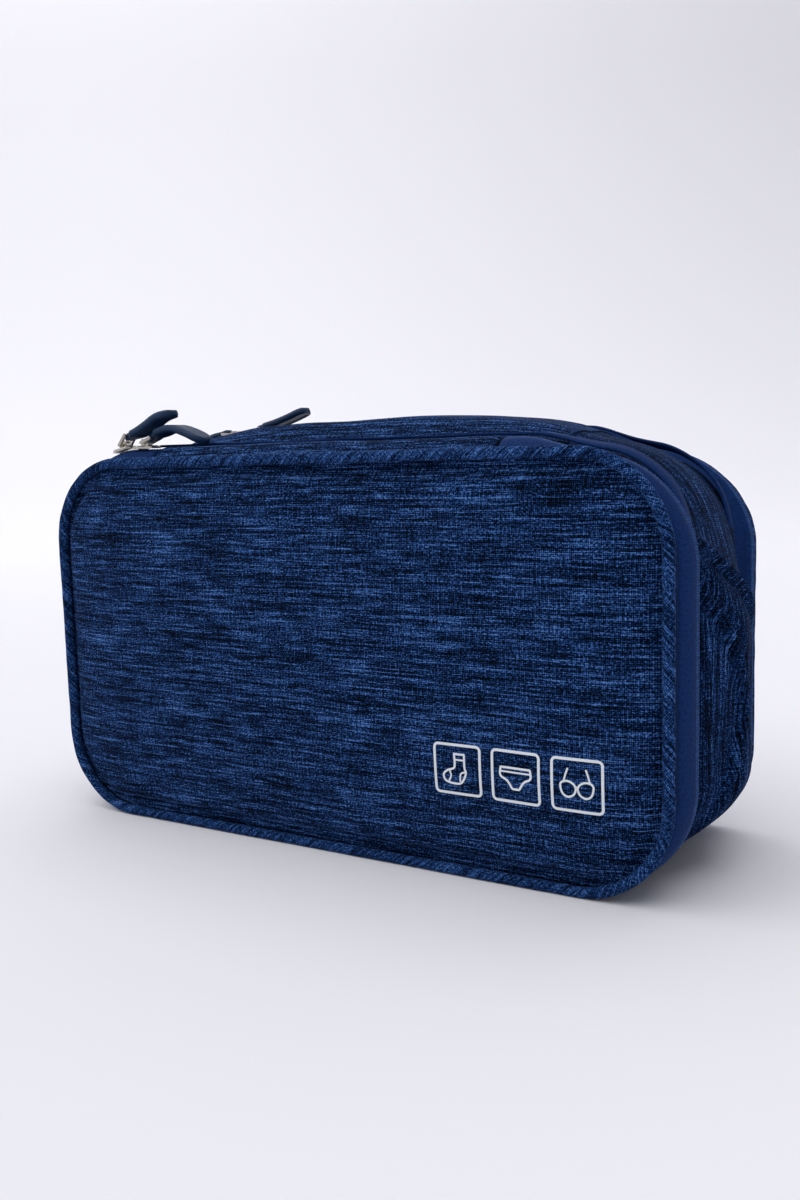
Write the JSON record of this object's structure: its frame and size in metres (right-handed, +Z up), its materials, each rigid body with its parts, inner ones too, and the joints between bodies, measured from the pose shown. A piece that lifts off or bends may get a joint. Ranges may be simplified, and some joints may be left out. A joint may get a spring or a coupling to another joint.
{
  "type": "travel organiser",
  "caption": "Soft two-compartment travel organiser with padded zipped lids front and rear, sliders with rubber pulls and printed pictograms.",
  "frame": {"origin": "on the floor under the middle of the case", "axes": "+X to the right along the longest side, +Y from the front lid to the rear lid, +Z up"},
  "size_m": [0.281, 0.0994, 0.1729],
  "materials": {
    "melange_cloth": "melange polyester cloth, slubbed",
    "zipper_tape": "woven navy tape",
    "lining_cloth": "plain navy lining",
    "coil_nylon": "nylon coil",
    "nickel": "nickel-plated die casting",
    "pull_rubber": "soft satin rubber",
    "white_print": "white screen print"
  },
  "bodies": {
    "case": {"cell_partition_left": "lining_cloth", "cell_partition_right": "lining_cloth", "front_body_coil": "coil_nylon", "front_body_tape": "zipper_tape", "front_hinge_strip": "melange_cloth", "front_seam_binding": "lining_cloth", "front_zip_stops": "lining_cloth", "gusset_sides": "melange_cloth", "gusset_top": "melange_cloth", "middle_divider": "lining_cloth", "rear_body_coil": "coil_nylon", "rear_body_tape": "zipper_tape", "rear_hinge_strip": "melange_cloth", "rear_seam_binding": "lining_cloth", "rear_zip_stops": "lining_cloth"},
    "front_lid": {"front_lid_coil": "coil_nylon", "front_lid_lining": "lining_cloth", "front_lid_panel": "melange_cloth", "front_lid_tape": "zipper_tape", "front_piping": "melange_cloth", "print_bra": "white_print", "print_briefs": "white_print", "print_sock": "white_print"},
    "rear_lid": {"rear_lid_coil": "coil_nylon", "rear_lid_lining": "lining_cloth", "rear_lid_panel": "melange_cloth", "rear_lid_tape": "zipper_tape", "rear_piping": "melange_cloth"},
    "grab_tab": {"grab_tab": "pull_rubber"},
    "front_slider_left": {"front_slider_left": "nickel"},
    "front_slider_left_bail": {"front_slider_left_bail": "nickel"},
    "front_slider_left_pull": {"front_slider_left_pull": "pull_rubber"},
    "front_slider_right": {"front_slider_right": "nickel"},
    "front_slider_right_bail": {"front_slider_right_bail": "nickel"},
    "front_slider_right_pull": {"front_slider_right_pull": "pull_rubber"},
    "rear_slider_left": {"rear_slider_left": "nickel"},
    "rear_slider_left_bail": {"rear_slider_left_bail": "nickel"},
    "rear_slider_left_pull": {"rear_slider_left_pull": "pull_rubber"},
    "rear_slider_right": {"rear_slider_right": "nickel"},
    "rear_slider_right_bail": {"rear_slider_right_bail": "nickel"},
    "rear_slider_right_pull": {"rear_slider_right_pull": "pull_rubber"}
  },
  "joints": [
    {"name": "front_lid_hinge", "type": "hinge", "parent": "case", "child": "front_lid", "pos_m": [0, -0.045, 0.156], "axis": [-1, 0, 0], "range_deg": [0, 150]},
    {"name": "rear_lid_hinge", "type": "hinge", "parent": "case", "child": "rear_lid", "pos_m": [0, 0.045, 0.1595], "axis": [1, 0, 0], "range_deg": [0, 150]},
    {"name": "front_slider_left_travel", "type": "hinge", "parent": "case", "child": "front_slider_left", "pos_m": [-0.102, -0.03285, 0.1175], "axis": [0, -1, 0], "range_deg": [0, 79]},
    {"name": "front_slider_right_travel", "type": "slide", "parent": "case", "child": "front_slider_right", "axis": [1, 0, 0], "range_m": [0, 0.0042]},
    {"name": "rear_slider_left_travel", "type": "hinge", "parent": "case", "child": "rear_slider_left", "pos_m": [-0.102, 0.03285, 0.121], "axis": [0, -1, 0], "range_deg": [0, 50]},
    {"name": "rear_slider_right_travel", "type": "slide", "parent": "case", "child": "rear_slider_right", "axis": [1, 0, 0], "range_m": [0, 0.0052]},
    {"name": "front_slider_left_bail_swing", "type": "hinge", "parent": "front_slider_left", "child": "front_slider_left_bail", "pos_m": [-0.10988, -0.03285, 0.15804], "axis": [0, 1, 0], "range_deg": [-100, 0]},
    {"name": "front_slider_left_pull_swing", "type": "hinge", "parent": "front_slider_left_bail", "child": "front_slider_left_pull", "pos_m": [-0.10648, -0.03285, 0.16224], "axis": [0, 1, 0], "range_deg": [-40, 0]},
    {"name": "front_slider_right_bail_swing", "type": "hinge", "parent": "front_slider_right", "child": "front_slider_right_bail", "pos_m": [-0.09725, -0.03285, 0.1588], "axis": [0, 1, 0], "range_deg": [-4, 0]},
    {"name": "front_slider_right_pull_swing", "type": "hinge", "parent": "front_slider_right_bail", "child": "front_slider_right_pull", "pos_m": [-0.09217, -0.03285, 0.16065], "axis": [0, 1, 0], "range_deg": [-10, 8]},
    {"name": "rear_slider_left_bail_swing", "type": "hinge", "parent": "rear_slider_left", "child": "rear_slider_left_bail", "pos_m": [-0.10272, 0.03285, 0.16229], "axis": [0, 1, 0], "range_deg": [0, 110]},
    {"name": "rear_slider_left_pull_swing", "type": "hinge", "parent": "rear_slider_left_bail", "child": "rear_slider_left_pull", "pos_m": [-0.10811, 0.03285, 0.16258], "axis": [0, 1, 0], "range_deg": [0, 18]},
    {"name": "rear_slider_right_bail_swing", "type": "hinge", "parent": "rear_slider_right", "child": "rear_slider_right_bail", "pos_m": [-0.09117, 0.03285, 0.1623], "axis": [0, 1, 0], "range_deg": [-110, 0]},
    {"name": "rear_slider_right_pull_swing", "type": "hinge", "parent": "rear_slider_right_bail", "child": "rear_slider_right_pull", "pos_m": [-0.08632, 0.03285, 0.16467], "axis": [0, 1, 0], "range_deg": [-40, 0]},
    {"name": "grab_tab_flex", "type": "hinge", "parent": "case", "child": "grab_tab", "pos_m": [0.12996, -0.027, 0.14396], "axis": [0.6428, 0, -0.766], "range_deg": [0, 70]}
  ]
}
